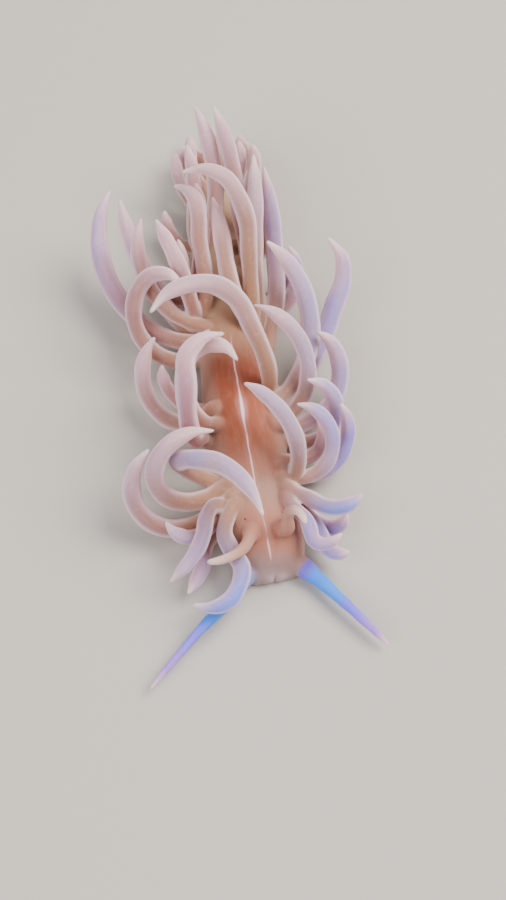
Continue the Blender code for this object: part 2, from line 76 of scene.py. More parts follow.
# Cerata: side (-1 right, 1 left), first root station, spacing, and each one's bends as (out, back, up)
CERATA_CLUSTERS = (
    ("front_right", -1, 4.6, 0.42, (
        ((3.9, -0.9, 1.5), (5.0, -3.6, 1.6), (6.1, -5.1, 1.4)),
        ((3.0, -1.6, 3.2), (2.4, -5.4, 3.1), (3.7, -7.1, 2.9), (6.0, -6.8, 2.6)),
        ((3.4, -1.4, 2.7), (4.7, -3.9, 3.0), (7.2, -5.4, 2.6)),
        ((5.1, -2.5, 2.4), (6.7, -1.5, 3.2)),
        ((8.5, -0.3, 3.6), (6.9, 2.2, 6.0)),
        ((6.9, -0.1, 5.4), (2.5, 1.5, 7.4)),
        ((5.3, 0.4, 5.6), (2.1, -2.2, 7.8), (0.5, -5.9, 7.4)),
    )),
    ("front_left", 1, 4.6, 0.42, (
        ((3.2, -1.4, 1.5), (4.2, -3.9, 1.6), (5.2, -4.5, 2.6)),
        ((2.8, -1.8, 3.1), (3.6, -4.4, 3.4), (4.8, -4.2, 4.2)),
        ((4.2, -2.9, 1.8), (5.6, -2.5, 2.8)),
        ((4.6, -3.1, 3.6), (6.7, -2.5, 4.4)),
        ((2.8, 1.9, 6.2), (-0.1, 5.0, 8.0)),
        ((5.4, 1.9, 4.4), (3.3, 3.2, 6.4)),
        ((6.6, 2.1, 3.0), (6.2, 3.8, 4.8)),
        ((5.1, 1.2, 1.8), (5.1, 2.8, 3.2)),
    )),
    ("heart_right", -1, 10.2, 0.6, (
        ((3.6, 4.0, 5.0), (1.5, 6.2, 7.2)),
        ((4.0, 0.8, 7.0), (2.8, 3.4, 8.2), (0.2, 1.7, 8.6)),
        ((4.0, -1.1, 8.6), (3.1, 2.0, 9.8), (0.8, 2.7, 9.6)),
        ((6.2, 4.7, 3.6), (5.3, 5.7, 5.2)),
        ((5.3, 2.1, 2.2), (5.2, 4.0, 3.2)),
    )),
    ("heart_left", 1, 9.6, 0.7, (
        ((6.1, 1.7, 4.2), (4.3, 2.3, 6.2)),
        ((7.1, 4.2, 3.0), (5.4, 5.9, 5.2)),
        ((4.7, 2.7, 6.0), (1.5, 6.2, 8.2)),
        ((5.7, 5.5, 4.4), (3.3, 11.1, 7.8)),
        ((8.0, 7.4, 3.2), (9.0, 9.8, 4.6), (8.0, 11.3, 6.0)),
        ((1.6, 1.2, 7.4), (-1.2, 5.1, 9.8), (-5.7, 3.6, 9.4)),
    )),
    ("mid_right", -1, 17.0, 0.7, (
        ((6.5, 3.6, 4.6), (5.0, 5.0, 6.4), (2.9, 3.1, 7.0)),
        ((8.5, 7.0, 3.6), (8.6, 9.4, 5.2), (7.4, 12.2, 6.4)),
        ((6.1, 6.3, 5.0), (6.9, 10.1, 7.0)),
        ((5.9, 5.8, 6.4), (5.5, 6.8, 7.8)),
        ((3.8, 3.5, 7.6), (4.6, 5.1, 8.8)),
        ((1.4, 3.2, 6.6), (1.6, 6.4, 8.4), (3.0, 7.9, 7.8)),
        ((2.8, 1.4, 6.2), (3.4, 2.6, 7.4)),
        ((4.0, 1.2, 1.6), (5.2, 2.8, 2.2)),
    )),
    ("mid_left", 1, 17.0, 0.8, (
        ((3.6, 9.0, 4.4), (3.9, 13.5, 6.6)),
        ((0.1, 5.0, 6.2), (-0.5, 9.4, 7.8)),
        ((3.2, 8.3, 5.4), (3.2, 12.3, 7.6)),
        ((1.6, 2.6, 6.0), (1.6, 5.4, 8.8), (0.5, 7.7, 10.0), (-2.4, 8.9, 9.4)),
        ((4.0, 2.8, 3.0), (3.7, 4.4, 4.4)),
        ((3.9, 1.4, 1.8), (4.9, 3.4, 2.8)),
    )),
    ("rear_right", -1, 24.0, 0.9, (
        ((1.4, 1.5, 6.0), (1.9, 4.2, 8.2)),
        ((1.3, 6.5, 5.0), (2.0, 7.9, 7.0)),
        ((0.2, 7.0, 6.0), (1.3, 10.1, 7.6)),
        ((3.2, 1.6, 1.8), (4.0, 3.4, 2.8)),
    )),
    ("rear_left", 1, 24.0, 0.9, (
        ((1.2, 7.2, 6.2), (0.2, 11.5, 8.0)),
        ((3.4, 3.6, 2.6), (3.6, 5.8, 3.8)),
        ((2.2, 2.4, 4.0), (2.4, 5.0, 5.8)),
        ((3.0, 1.4, 1.7), (4.0, 3.2, 2.6)),
    )),
    ("tail_right", -1, 31.0, 1.6, (
        ((2.8, 2.0, 2.6), (3.0, 3.8, 3.6)),
        ((1.8, 2.4, 2.2), (1.8, 3.8, 3.2)),
        ((1.9, 1.2, 1.3), (2.3, 2.6, 1.9)),
        ((1.6, 1.1, 1.0), (1.9, 2.3, 1.5)),
    )),
    ("tail_left", 1, 31.0, 1.6, (
        ((2.8, 2.2, 2.8), (2.8, 4.2, 3.8)),
        ((1.8, 2.2, 2.0), (1.8, 3.6, 3.0)),
        ((1.9, 1.3, 1.4), (2.2, 2.8, 2.0)),
        ((1.6, 1.1, 1.0), (1.9, 2.3, 1.5)),
    )),
)
ROOT_ANGLES = (8.0, 42.0)
ROOT_DEPTH = 1.0
GIRTH_AT_ZERO = 0.43
GIRTH_PER_LENGTH = 0.018
# Share of the length, share of the girth
CERAS_TAPER = ((0.0, 0.84), (0.2, 0.92), (0.5, 1.0), (0.76, 0.92), (0.9, 0.66), (1.0, 0.3))
RINGS = 9
ROUTE_STEPS = 24

# Head feelers: root station, root angle up the side, turn forward, root radius, tip radius
ORAL_TENTACLE = (0.5, 0.0, 52.0, 0.52, 0.2)
RHINOPHORE = (2.8, 66.0, 34.0, 0.5, 0.24)
# Each feeler's side, sizes, and what it bends through as (out, back, up) from its station
FEELERS = {
    "oral_tentacle_right": (-1, ORAL_TENTACLE, ((5.8, -3.5, 1.0), (9.7, -6.9, 0.8))),
    "oral_tentacle_left": (1, ORAL_TENTACLE, ((4.4, -3.6, 1.0), (6.5, -6.9, 0.8))),
    "rhinophore_right": (-1, RHINOPHORE, ((2.1, -1.9, 4.0), (4.6, -2.3, 3.9))),
    "rhinophore_left": (1, RHINOPHORE, ((1.5, 0.0, 4.6), (2.3, -1.7, 5.6))),
}
FEELER_GAP = 0.42

# How the cerata are eased apart until they are clear of one another, of the body and of the floor
EASE_ROUNDS = 200
EASE_SHARE = 0.5
EASE_MARGIN = 0.12
EVENING_SHARE = 0.2
WATCH_DISTANCE = 2.5
SUB_STEPS = 4
HELD_KNOTS = 2
ROOT_ZONE = 0.24
BODY_ZONE = 0.14
DEEPEST_SHARE = 0.2
FLOOR_CLEARANCE = 0.2

# Head front: half extents of the lips, the mouth's slit between them and the corners of the foot
LIP_STATION = 0.25
LIP_OUT = 0.42
LIP_HEIGHT = 0.66
LIP_SIZE = (0.55, 0.45, 0.5)
MOUTH_SIZE = (0.1, 0.45, 0.36)
FOOT_CORNER_STATION = 0.8
FOOT_CORNER_OUT = 2.1
FOOT_CORNER_SIZE = (0.8, 0.55, 0.3)

# Distances shorter than this count as this long
LEAST_DISTANCE = 0.001

# The fine skin: sizes in millimetres, and counts
VOXEL = 0.1
SMOOTH_ROUNDS = 6
SMOOTH_FACTOR = 0.5
TUBE_SIDES = 24
TUBE_STEP = 0.2
LEAST_RINGS = 12
BODY_STEP = 0.25
BODY_SIDE_STEP = 6
ELLIPSOID_SIDES = 24
ELLIPSOID_RINGS = 14
HIGHEST_RING = 0.495 * math.pi
# The round tip's length in tip radii, and the square of its end's share of the radius
ROUND_TIP_REACH = 1.3
ROUND_TIP_END = 0.004
# Any way across a tube to start from
FIRST_ACROSS = (0.3, 0.2, 1.0)
FEELER_SINK = 1.2
MOUTH_DEPTH = 0.14
SAMPLE_STEPS = 70
NEAR_SAMPLES = 5
TINY = 1e-9
BLEND_START = 0.1
BLEND_WIDTH = 0.7
FEELER_BLEND = 0.35
# How near a tube's surface counts as fully on it, and how far as off it
ON_TUBE = 0.15
OFF_TUBE = 0.5

# Fine shape of the cerata: slight lumps, an oval section, a narrow tip and a flared root, as shares, and
# how far the flare reaches in millimetres
WOBBLE = 0.06
WOBBLE_WAVES = (2.3, 5.1)
FLATTENING = 0.06
TIP_START = 0.84
TIP_NARROWING = 0.35
ROOT_FLARE = 0.3
FLARE_REACH = 1.2
LOOK_SEED = 7

# How the markings vary along, around and between the cerata
OPAL_WANDER = 0.12
OPAL_REACH = 0.32
OPAL_AT_TIP = 0.3
OPAL_ALL_ROUND = 0.7
OPAL_ON_BULGE = 0.3
BLUE_ON_BULGE = 0.2
HUE_VARIETY = 0.5
DUCT_VARIETY = 0.3
STREAK_STRETCH = 0.25
STREAK_APART = 7.0
STREAK_WANDER = 0.16
DUCT_FADE = 0.35

# Each cluster's pinkness rather than beige, how far out its ducts show, how blue rather than lilac it
# shines, where along a ceras it shines most, and how strongly each of its cerata shines
CLUSTER_LOOKS = {
    "front_right": (0.35, 0.45, 0.6, 0.7, (0.45, 1.2, 0.55, 0.4, 0.12, 0.12, 0.45)),
    "front_left": (0.45, 0.25, 0.65, 0.66, (1.1, 0.9, 1.2, 1.0, 0.35, 0.8, 1.4, 0.15)),
    "heart_right": (0.8, 0.4, 0.3, 0.6, (0.1, 0.12, 0.15, 0.1, 0.05)),
    "heart_left": (0.45, 0.3, 0.8, 0.62, (0.8, 0.8, 0.28, 0.65, 1.1, 0.08)),
    "mid_right": (0.6, 0.52, 0.4, 0.74, (0.12, 0.5, 0.25, 0.1, 0.05, 0.08, 0.05, 0.1)),
    "mid_left": (0.4, 0.52, 0.8, 0.7, (0.6, 0.05, 0.25, 0.08, 0.6, 0.7)),
    "rear_right": (0.65, 0.55, 0.4, 0.7, (0.05, 0.1, 0.15, 0.05)),
    "rear_left": (0.5, 0.5, 0.5, 0.7, (0.15, 0.05, 0.1, 0.05)),
    "tail_right": (0.4, 0.45, 0.4, 0.56, (0.15, 0.1, 0.1, 0.1)),
    "tail_left": (0.4, 0.45, 0.4, 0.56, (0.15, 0.1, 0.1, 0.1)),
}

# Noises, each as its scale and its detail. The scale is in waves a metre, apart from the streaks and
# fibres, which follow each ceras, and the strands, which follow the back
GRAIN = (2600.0, 4.0)
MOTTLE = (420.0, 2.0)
RIPPLES = (4200.0, 3.0)
PEARL_PATCHES = (330.0, 2.0)
STREAKS = (2.2, 3.0)
FIBRES = (8.0, 2.0)
STRANDS = (1.0, 4.0)
LINE_SWAY = (260.0, 2.0)
LINE_EDGE = (900.0, 3.0)
LINE_BREAKS = (420.0, 1.0)
EYE_GRAIN = (9000.0, 2.0)

# Colours from root to tip of beige and of pink cerata, by share of the length
BEIGE_CERAS = (
    (0.0, (0.4, 0.22, 0.12)), (0.3, (0.47, 0.31, 0.21)), (0.6, (0.56, 0.37, 0.33)),
    (0.84, (0.71, 0.48, 0.45)), (1.0, (0.9, 0.67, 0.62)),
)
PINK_CERAS = (
    (0.0, (0.43, 0.22, 0.15)), (0.3, (0.5, 0.32, 0.26)), (0.6, (0.58, 0.36, 0.37)),
    (0.84, (0.73, 0.46, 0.49)), (1.0, (0.92, 0.65, 0.66)),
)
# The first colour of a pair is for beige cerata, the second for pink ones
PEARL = ((0.5, 0.37, 0.47), (0.54, 0.33, 0.41))
DUCT = ((0.4, 0.21, 0.1), (0.38, 0.16, 0.13))

# Colours of the other markings of the cerata
FIBRE = (0.4, 0.2, 0.17)
LILAC_TO_BLUE = ((0.43, 0.26, 0.61), (0.14, 0.25, 0.8))
# The pale rim is painted light: it stands in for light glowing through the thin edges of each ceras
PAINTED_RIM_GLOW = (0.92, 0.67, 0.73)
SPECKLE = (0.78, 0.64, 0.68)

# Where each marking comes in: from and to a value of its noise, or along a ceras, or out to its sides, where
# the painted rim glow lies
PEARL_NOISE = (0.42, 0.66)
PEARL_ALONG = (0.15, 0.4)
FIBRE_NOISE = (0.5, 0.68)
CORE_EDGE = (0.3, 0.82)
RIM_GLOW_EDGE = (0.6, 0.95)
RIM_GLOW_ALONG = (0.05, 0.3)
SPECKLE_NOISE = (0.55, 0.75)
STRAND_NOISE = (0.42, 0.72)
MOTTLE_NOISE = (0.45, 0.7)
BREAK_NOISE = (0.3, 0.44)
RIGHT_SIDE = (-0.5, 0.5)
RIGHT_ROOT_ALONG = (0.1, 0.28)

# Unevenness, each as the noise's part and the steady part
DUCT_UNEVEN = (0.6, 0.6)
OPAL_UNEVEN = (0.5, 0.8)
ROUGHNESS = (0.2, 0.46)

# Relief of the skin: the bump's strength, its depth in metres and the streaks' part in it
BUMP_STRENGTH = 0.5
BUMP_DISTANCE = 0.00006
STREAK_RELIEF = 1.5

# How strongly each marking covers what lies under it
PEARL_SHARE = 0.4
FIBRE_SHARE = 0.22
DUCT_SHARE = 0.9
OPAL_SHARE = 0.88
RIM_GLOW_SHARE = 0.62
SPECKLE_SHARE = 0.15
FLANK_SHARE = 0.8
STRAND_SHARE = 0.3
MOTTLE_SHARE = 0.22
LINE_SHARE = 0.9

# Colours down the back by share of the body's length, and of its flanks, strands and mottling
BACK = (
    (0.0, (0.46, 0.34, 0.34)), (0.012, (0.36, 0.23, 0.22)), (0.048, (0.48, 0.2, 0.13)),
    (0.08, (0.46, 0.2, 0.14)), (0.15, (0.42, 0.24, 0.18)), (0.19, (0.44, 0.18, 0.12)),
    (0.24, (0.37, 0.11, 0.055)), (0.37, (0.37, 0.1, 0.05)), (0.46, (0.38, 0.2, 0.12)),
    (0.58, (0.43, 0.28, 0.17)), (1.0, (0.48, 0.33, 0.23)),
)
FLANK = (0.42, 0.27, 0.21)
FLANK_START = 1.1
FLANK_END = 2.5
STRAND = (0.47, 0.26, 0.2)
DARK_MOTTLE = (0.25, 0.1, 0.06)

# Colours from root to tip of the oral tentacles and the rhinophores, by share of the length
TENTACLE = (
    (0.05, (0.42, 0.25, 0.27)), (0.12, (0.19, 0.14, 0.66)), (0.22, (0.05, 0.28, 1.0)),
    (0.42, (0.07, 0.3, 1.0)), (0.58, (0.21, 0.19, 0.92)), (0.82, (0.4, 0.23, 0.76)),
    (1.0, (0.76, 0.54, 0.58)),
)
RIGHT_TENTACLE_ROOT = (0.3, 0.32, 0.6)
RIGHT_ROOT_SHARE = 0.8
RHINOPHORE_COLOURS = ((0.2, (0.44, 0.2, 0.14)), (0.5, (0.52, 0.29, 0.22)), (1.0, (0.8, 0.6, 0.53)))

# The white line down the back
LINE_OFFSET = -0.12
LINE_BRIGHT_STATION = 11.4
LINE_BRIGHT_CORE = 0.2
LINE_BRIGHT_REACH = 1.6
LINE_BRIGHT_WIDTH = 0.055
LINE_RAGGED_WIDTH = 0.06
LINE_SOFTNESS = 0.05
LINE_SWING = 0.5
GLOW_REACH = 0.45
GLOW_SHARE = (0.35, 0.15)
LINE_START = (0.6, 1.2)
LINE_END = (16.0, 18.0)
DULL_LINE = (0.94, 0.62, 0.6)
BRIGHT_LINE = (1.0, 0.8, 0.88)
LINE_GLOW = (0.8, 0.36, 0.36)

# Strands of the back: how often they change across it and along it, for each millimetre
STRAND_SCALE = (2.6, 0.7)

# Painted light: pale rims, standing in for light glowing through the thin edges, lie to the sides of each
# ceras as seen from this direction, above and in front
RIM_GLOW_VIEW = (0.0, -0.5, 0.866)
# The rims fade where a ceras runs nearer to that direction than this
LEAST_TURN = 0.3
# Over how many places a ceras's bend is evened
BEND_SPREAD = 9

# Eye spots: place and size, in millimetres behind the rhinophores, and looks
EYE_BEHIND = 1.0
EYE_ANGLE = 58.0
EYE_RADIUS = 0.08
EYE_SINK = 0.05
EYE_DARK = (0.02, 0.01, 0.012)
EYE_BROWN = (0.07, 0.035, 0.035)
EYE_ROUGHNESS = 0.45

# Camera of the photograph
CAMERA_ELEVATION = math.radians(60)
CAMERA_LENS = 72.0
CAMERA_DISTANCE = 0.128
CAMERA_TARGET = (0.0016, -0.009, 0.0)
CLIP_START = 0.005

# Floor and lights, in metres and watts: each light is its place, power, size and colour
FLOOR_SIZE = 4.0
FLOOR_DROP = 0.00002
FLOOR_COLOUR = (0.55, 0.51, 0.45, 1)
FLOOR_ROUGHNESS = 0.9
KEY_LIGHT = ((0.2, 0.05, 0.3), 2.3, 0.26, (1.0, 0.96, 0.91))
FILL_LIGHT = ((-0.22, -0.22, 0.27), 1.3, 0.3, (0.95, 0.94, 1.0))
AMBIENT_COLOUR = (0.92, 0.95, 1.0, 1)
AMBIENT_STRENGTH = 0.48


def through_table(table, at):
    """The table's columns at a place, on a smooth cubic through its rows."""
    rows = np.array(table, float)
    place, columns = rows[:, 0], rows[:, 1:]
    slope = np.gradient(columns, place, axis=0)
    at = np.clip(at, place[0], place[-1])
    i = np.clip(np.searchsorted(place, at, side="right") - 1, 0, len(place) - 2)
    step = place[i + 1] - place[i]
    t = ((at - place[i]) / step)[..., None]
    step = step[..., None]
    return ((2 * t**3 - 3 * t**2 + 1) * columns[i] + (t**3 - 2 * t**2 + t) * step * slope[i]
            + (3 * t**2 - 2 * t**3) * columns[i + 1] + (t**3 - t**2) * step * slope[i + 1])


def midline_x(station):
    """The body's gentle lean and sway across the floor."""
    share = station / BODY_LENGTH
    return HEAD_X + (TAIL_X - HEAD_X) * share - BODY_SWAY * np.sin(math.pi * share)


def body_axes(station):
    """The midline's point on the floor, and the unit vectors back and left there."""
    slope = (midline_x(station + SLOPE_REACH) - midline_x(station - SLOPE_REACH)) / (2 * SLOPE_REACH)
    back = np.array([slope, 1.0, 0.0]) / math.hypot(slope, 1.0)
    left = np.array([back[1], -back[0], 0.0])
    return np.array([midline_x(station), station - BODY_LENGTH / 2, 0.0]), back, left


def body_surface(station, side, angle):
    """The surface point at an angle above the widest line of one side, and the normal there."""
    half_width, height = through_table(BODY_OUTLINE, np.float64(station))
    point, _, left = body_axes(station)
    turn = math.radians(angle)
    waist = WIDEST_HEIGHT * height
    rise = height - waist
    point = point + left * side * half_width * math.cos(turn)
    point[2] = waist + rise * math.sin(turn)
    normal = left * side * math.cos(turn) / half_width + np.array([0, 0, math.sin(turn) / rise])
    return point, normal / np.linalg.norm(normal)


def arc_halves(start, middle, end, share):
    """Points a share of the way along each half of the circle's arc through three points."""
    u, v = middle - start, end - start
    axis = np.cross(u, v)
    centre = start + (np.cross(axis, u) * (v @ v) + np.cross(v, axis) * (u @ u)) / (2 * (axis @ axis))
    axis /= np.linalg.norm(axis)
    spoke = start - centre
    across = np.cross(axis, spoke)

    def turn_to(point):
        return math.atan2((point - centre) @ across, (point - centre) @ spoke) % (2 * math.pi)

    def at(turn):
        return centre + np.cos(turn)[:, None] * spoke + np.sin(turn)[:, None] * across

    half, whole = turn_to(middle), turn_to(end)
    return at(half * share), at(half + (whole - half) * share)


def round_route(points, count):
    """Evenly spaced points on a smooth line of blended arcs through the given points."""
    share = np.linspace(0, 1, ROUTE_STEPS, endpoint=False)
    arcs = [arc_halves(*points[i:i + 3], share) for i in range(len(points) - 2)]
    blend = (np.sin(share * math.pi / 2) ** 2)[:, None]
    pieces = [arcs[0][0]]
    for before, after in zip(arcs, arcs[1:]):
        pieces.append(before[1] * (1 - blend) + after[0] * blend)
    pieces += [arcs[-1][1], points[-1][None]]
    dense = np.vstack(pieces)
    along = np.concatenate([[0], np.cumsum(np.linalg.norm(np.diff(dense, axis=0), axis=1))])
    even = np.linspace(0, along[-1], count)
    return np.stack([np.interp(even, along, dense[:, c]) for c in range(3)], 1)


def ceras_lines():
    """Every ceras as its cluster, root station, centreline and radii, before they are eased apart."""
    lines = []
    for cluster, side, first, spacing, postures in CERATA_CLUSTERS:
        for i, posture in enumerate(postures):
            station = first + spacing * i
            root, normal = body_surface(station, side, ROOT_ANGLES[i % 2])
            floor, back, left = body_axes(station)
            up = np.array([0, 0, 1.0])
            reached = [floor + left * side * p[0] + back * p[1] + up * p[2] for p in posture]
            line = round_route([root] + reached, RINGS)
            length = np.linalg.norm(np.diff(line, axis=0), axis=1).sum()
            girth = GIRTH_AT_ZERO + GIRTH_PER_LENGTH * length
            radii = girth * through_table(CERAS_TAPER, np.linspace(0, 1, RINGS))[:, 0]
            line = np.vstack([root - normal * ROOT_DEPTH, line])
            radii = np.concatenate([radii[:1], radii])
            lines.append((cluster, station, line, radii))
    return lines


def feeler_lines():
    """The four head feelers as name, station, centreline and radii, each starting just off the head."""
    lines = []
    for name, (side, sizes, posture) in FEELERS.items():
        station, angle, forward, root_radius, tip_radius = sizes
        root, normal = body_surface(station, side, angle)
        floor, back, left = body_axes(station)
        turn = math.radians(forward)
        normal = normal * math.cos(turn) - back * math.sin(turn)
        start = root + normal * FEELER_GAP
        up = np.array([0, 0, 1.0])
        reached = [floor + left * side * p[0] + back * p[1] + up * p[2] for p in posture]
        line = round_route([start, start + normal * root_radius] + reached, RINGS)
        lines.append((name, station, line, np.linspace(root_radius, tip_radius, RINGS)))
    return lines


def body_push(points, reach):
    """How far each point stands too near the body, as a push away from it."""
    station = np.clip(points[:, 1] + BODY_LENGTH / 2, 0, BODY_LENGTH)
    half_width, height = through_table(BODY_OUTLINE, station).T
    waist = WIDEST_HEIGHT * height
    across = points[:, 0] - midline_x(station)
    above = np.maximum(points[:, 2] - waist, 0)
    size = np.hypot(across / half_width, above / (height - waist))
    outward = np.stack([across, np.zeros_like(across), above], 1)
    radius = np.maximum(np.linalg.norm(outward, axis=1), LEAST_DISTANCE)
    distance = radius * (1 - 1 / np.maximum(size, DEEPEST_SHARE))
    return outward / radius[:, None] * np.maximum(reach - distance, 0)[:, None]


def ease_apart(lines, still):
    """Moves the centrelines until all of them keep their clearance, with the roots held."""
    count = len(lines)
    tubes = lines + still
    knots = RINGS + 1
    place = np.linspace(0, knots - 1, (knots - 1) * SUB_STEPS + 1)
    low = np.minimum(place.astype(int), knots - 2)
    weights = np.zeros((len(place), knots))
    weights[np.arange(len(place)), low] = 1 - (place - low)
    weights[np.arange(len(place)), low + 1] += place - low
    line = np.stack([np.vstack([points[:knots - len(points)], points]) for _, _, points, _ in tubes])
    radii = np.stack([np.concatenate([girths[:knots - len(girths)], girths]) for _, _, _, girths in tubes])
    first = line.copy()
    reach = radii @ weights.T
    share = (place - 1) / (knots - 2)
    rooted = np.tile(share < ROOT_ZONE, (len(tubes), 1)).ravel()
    at_body = np.tile(share < BODY_ZONE, (len(tubes), 1)).ravel()
    owner = np.repeat(np.arange(len(tubes)), len(place))
    names = [tube[0] for tube in tubes]
    cluster = np.array([names.index(name) for name in names])[owner]
    spots = (weights @ line).reshape(-1, 3)
    spread = reach.ravel()
    one, other = np.triu_indices(len(spots), 1)
    near = np.linalg.norm(spots[one] - spots[other], axis=1) < spread[one] + spread[other] + WATCH_DISTANCE
    apart = owner[one] != owner[other]
    fused = rooted[one] & rooted[other] & (cluster[one] == cluster[other])
    one, other = one[near & apart & ~fused], other[near & apart & ~fused]
    need = spread[one] + spread[other] + CLEARANCE + EASE_MARGIN
    hold = np.clip((np.arange(knots) - 1) / HELD_KNOTS, 0, 1)
    mobile = np.zeros((len(tubes), knots, 1))
    mobile[:count] = hold[:, None]
    total = weights.sum(0)[:, None]
    for _ in range(EASE_ROUNDS):
        spots = (weights @ line).reshape(-1, 3)
        step = spots[one] - spots[other]
        distance = np.maximum(np.linalg.norm(step, axis=1), LEAST_DISTANCE)
        close = distance < need
        push = (step / distance[:, None] * (need - distance)[:, None])[close] * EASE_SHARE
        force = np.zeros_like(spots)
        np.add.at(force, one[close], push)
        np.add.at(force, other[close], -push)
        hits = np.zeros(len(spots))
        np.add.at(hits, one[close], 1)
        np.add.at(hits, other[close], 1)
        force /= np.sqrt(np.maximum(hits, 1))[:, None]
        force += np.where(at_body[:, None], 0, body_push(spots, spread + CLEARANCE + EASE_MARGIN))
        force[:, 2] += np.maximum(spread + FLOOR_CLEARANCE - spots[:, 2], 0)
        force = force.reshape(len(tubes), len(place), 3)
        line += mobile * (np.einsum("pk,tpc->tkc", weights, force) / total)
        moved = line - first
        smooth = moved.copy()
        smooth[:, 1:-1] += EVENING_SHARE * (moved[:, :-2] - 2 * moved[:, 1:-1] + moved[:, 2:])
        line = first + np.where(mobile > 0, smooth, 0)
    return [(tube[0], tube[1], line[i], tube[3]) for i, tube in enumerate(lines)]


def line_length(line):
    """Length of a centreline."""
    return np.linalg.norm(np.diff(line, axis=0), axis=1).sum()


def upsampled(line, radii, step):
    """A smooth fine centreline and radii through the coarse ones."""
    table = np.column_stack([np.arange(len(line)), line, radii])
    count = max(LEAST_RINGS, round(line_length(line) / step))
    fine = through_table(table, np.linspace(0, len(line) - 1, count))
    return fine[:, :3], fine[:, 3]


def round_tip(line, radii):
    """Ends a tube in a round tip by closing its radius over its last stretch."""
    along = np.concatenate([[0], np.cumsum(np.linalg.norm(np.diff(line, axis=0), axis=1))])
    left = (along[-1] - along) / (ROUND_TIP_REACH * radii[-1])
    return radii * np.sqrt(np.clip(1 - np.clip(1 - left, 0, 1) ** 2, ROUND_TIP_END, 1))


def side_frames(line):
    """The way ahead and two unit vectors across the line at each point, carried along without twist."""
    ahead = np.gradient(line, axis=0)
    ahead /= np.linalg.norm(ahead, axis=1)[:, None]
    side = np.cross(ahead[0], FIRST_ACROSS)
    sides = []
    for way in ahead:
        side = side - way * (side @ way)
        side = side / np.linalg.norm(side)
        sides.append(side)
    sides = np.array(sides)
    return ahead, sides, np.cross(ahead, sides)


def closed_loft(rings):
    """Points and faces of a closed surface through rings of equal count."""
    count, around, _ = rings.shape
    faces = []
    for i in range(count - 1):
        for j in range(around):
            k = (j + 1) % around
            faces.append((i * around + j, i * around + k, (i + 1) * around + k, (i + 1) * around + j))
    faces.append(tuple(range(around))[::-1])
    faces.append(tuple((count - 1) * around + j for j in range(around)))
    return rings.reshape(-1, 3), faces


def tube_shape(line, radii, draw):
    """A fine tube with a flared root, a round tip and slight lumps, a little flattened."""
    fine, girth = upsampled(line, radii, TUBE_STEP)
    share = np.linspace(0, 1, len(fine))
    past_root = share * line_length(fine) - ROOT_DEPTH
    girth = girth * (1 + ROOT_FLARE * (1 - smooth_share(past_root, 0, FLARE_REACH)))
    for waves in WOBBLE_WAVES:
        girth = girth * (1 + WOBBLE / 2 * np.sin(2 * math.pi * (waves * share + draw.uniform())))
    girth = round_tip(fine, girth * (1 - TIP_NARROWING * smooth_share(share, TIP_START, 1)))
    _, side, other = side_frames(fine)
    turn = np.linspace(0, 2 * math.pi, TUBE_SIDES, endpoint=False)
    lean = draw.uniform(0, math.pi)
    oval = 1 + FLATTENING * np.cos(2 * (turn - lean))
    rings = fine[:, None] + girth[:, None, None] * oval[None, :, None] * (
        np.cos(turn)[None, :, None] * side[:, None] + np.sin(turn)[None, :, None] * other[:, None])
    return closed_loft(rings)


def body_ring(station):
    """One cross-section of the body: flat sole, foot edge, rounded sides and back."""
    half_width, height = through_table(BODY_OUTLINE, np.float64(station))
    waist = WIDEST_HEIGHT * height
    edge = min(FOOT_THICKNESS, THIN_FOOT_SHARE * height + THIN_FOOT_LEAST)
    foot = FOOT_WIDTH_SHARE * half_width + FOOT_MARGIN
    half = [(foot - SOLE_INSET, 0.0), (foot, EDGE_LOW * edge), (foot - EDGE_INSET, EDGE_HIGH * edge)]
    half.append((max(foot - EDGE_INSET, ABOVE_FOOT_SHARE * half_width), (edge + waist) / 2))
    for angle in range(0, 91, BODY_SIDE_STEP):
        turn = math.radians(angle)
        half.append((half_width * math.cos(turn), waist + (height - waist) * math.sin(turn)))
    outline = half + [(-out, up) for out, up in reversed(half[:-1])]
    point, _, left = body_axes(station)
    return [point + left * out + np.array([0, 0, up]) for out, up in outline]


def ellipsoid_shape(centre, size):
    """A fine ellipsoid."""
    turns = np.linspace(0, 2 * math.pi, ELLIPSOID_SIDES, endpoint=False)
    rises = np.linspace(-HIGHEST_RING, HIGHEST_RING, ELLIPSOID_RINGS)
    rings = np.array([[(math.cos(rise) * math.cos(turn), math.cos(rise) * math.sin(turn), math.sin(rise))
                       for turn in turns] for rise in rises])
    return closed_loft(centre + rings * np.array(size))


def head_lumps():
    """Lips and the corners of the foot."""
    shapes = []
    for side in (-1, 1):
        for station, out, height, size in (
                (LIP_STATION, LIP_OUT, LIP_HEIGHT, LIP_SIZE),
                (FOOT_CORNER_STATION, FOOT_CORNER_OUT, FOOT_CORNER_SIZE[2], FOOT_CORNER_SIZE)):
            floor, _, left = body_axes(station)
            shapes.append(ellipsoid_shape(floor + left * side * out + np.array([0, 0, height]), size))
    return shapes


def sunk_feelers():
    """The feelers' centrelines, begun inside the head so that the skin joins them to it."""
    lines = []
    for name, station, line, radii in feeler_lines():
        way = line[0] - line[1]
        start = line[0] + way / np.linalg.norm(way) * FEELER_SINK
        lines.append((name, station, np.vstack([start, line]), np.insert(radii, 0, radii[0])))
    return lines


